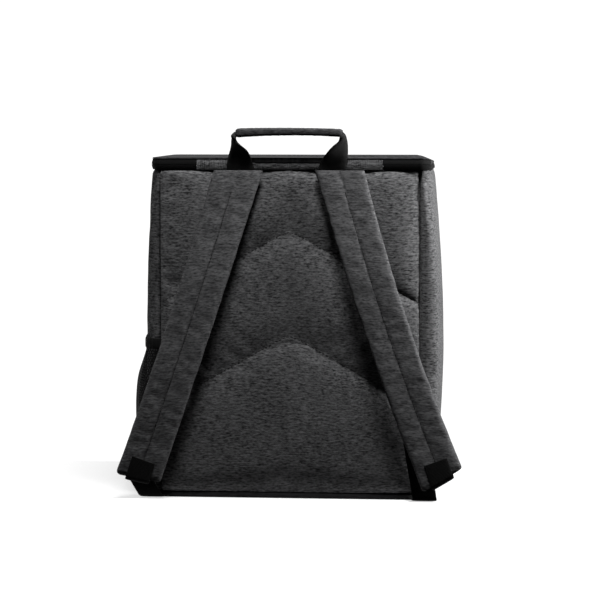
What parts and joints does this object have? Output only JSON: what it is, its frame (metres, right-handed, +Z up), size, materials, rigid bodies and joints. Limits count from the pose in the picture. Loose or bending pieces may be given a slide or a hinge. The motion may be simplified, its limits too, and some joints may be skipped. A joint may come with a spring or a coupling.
{
  "type": "cooler backpack",
  "caption": "Insulated backpack with a zipped box lid, padded quilted back, two padded shoulder straps, a carrying handle and a net side pocket.",
  "frame": {"origin": "middle of the flat underside of the base, on the surface that the bag stands on", "axes": "+Z up, -Y towards the wearer's side with the shoulder straps, +X to the right when the straps are seen from the front"},
  "size_m": [0.3557, 0.2258, 0.3837],
  "materials": {
    "heather_cloth": "woven heather polyester, matte",
    "black_webbing": "ribbed woven webbing",
    "zip_tape": "woven tape with a reversed coil",
    "black_net": "open knitted net",
    "black_elastic": "gathered woven elastic",
    "slider_metal": "black enamelled"
  },
  "bodies": {
    "root": {"back_panel": "heather_cloth", "front_panel": "heather_cloth", "side_panel_left": "heather_cloth", "side_panel_right": "heather_cloth", "base_panel": "heather_cloth", "lid_panel": "heather_cloth", "lid_hinge": "heather_cloth", "zip_tape_lower": "zip_tape", "zip_tape_upper": "zip_tape", "zip_slider": "slider_metal", "handle_grip": "heather_cloth", "handle_webbing_left": "black_webbing", "handle_webbing_right": "black_webbing", "shoulder_strap_left": "heather_cloth", "shoulder_strap_right": "heather_cloth", "strap_webbing_left": "black_webbing", "strap_webbing_right": "black_webbing", "side_pocket_mesh": "black_net", "side_pocket_elastic": "black_elastic"}
  },
  "joints": []
}
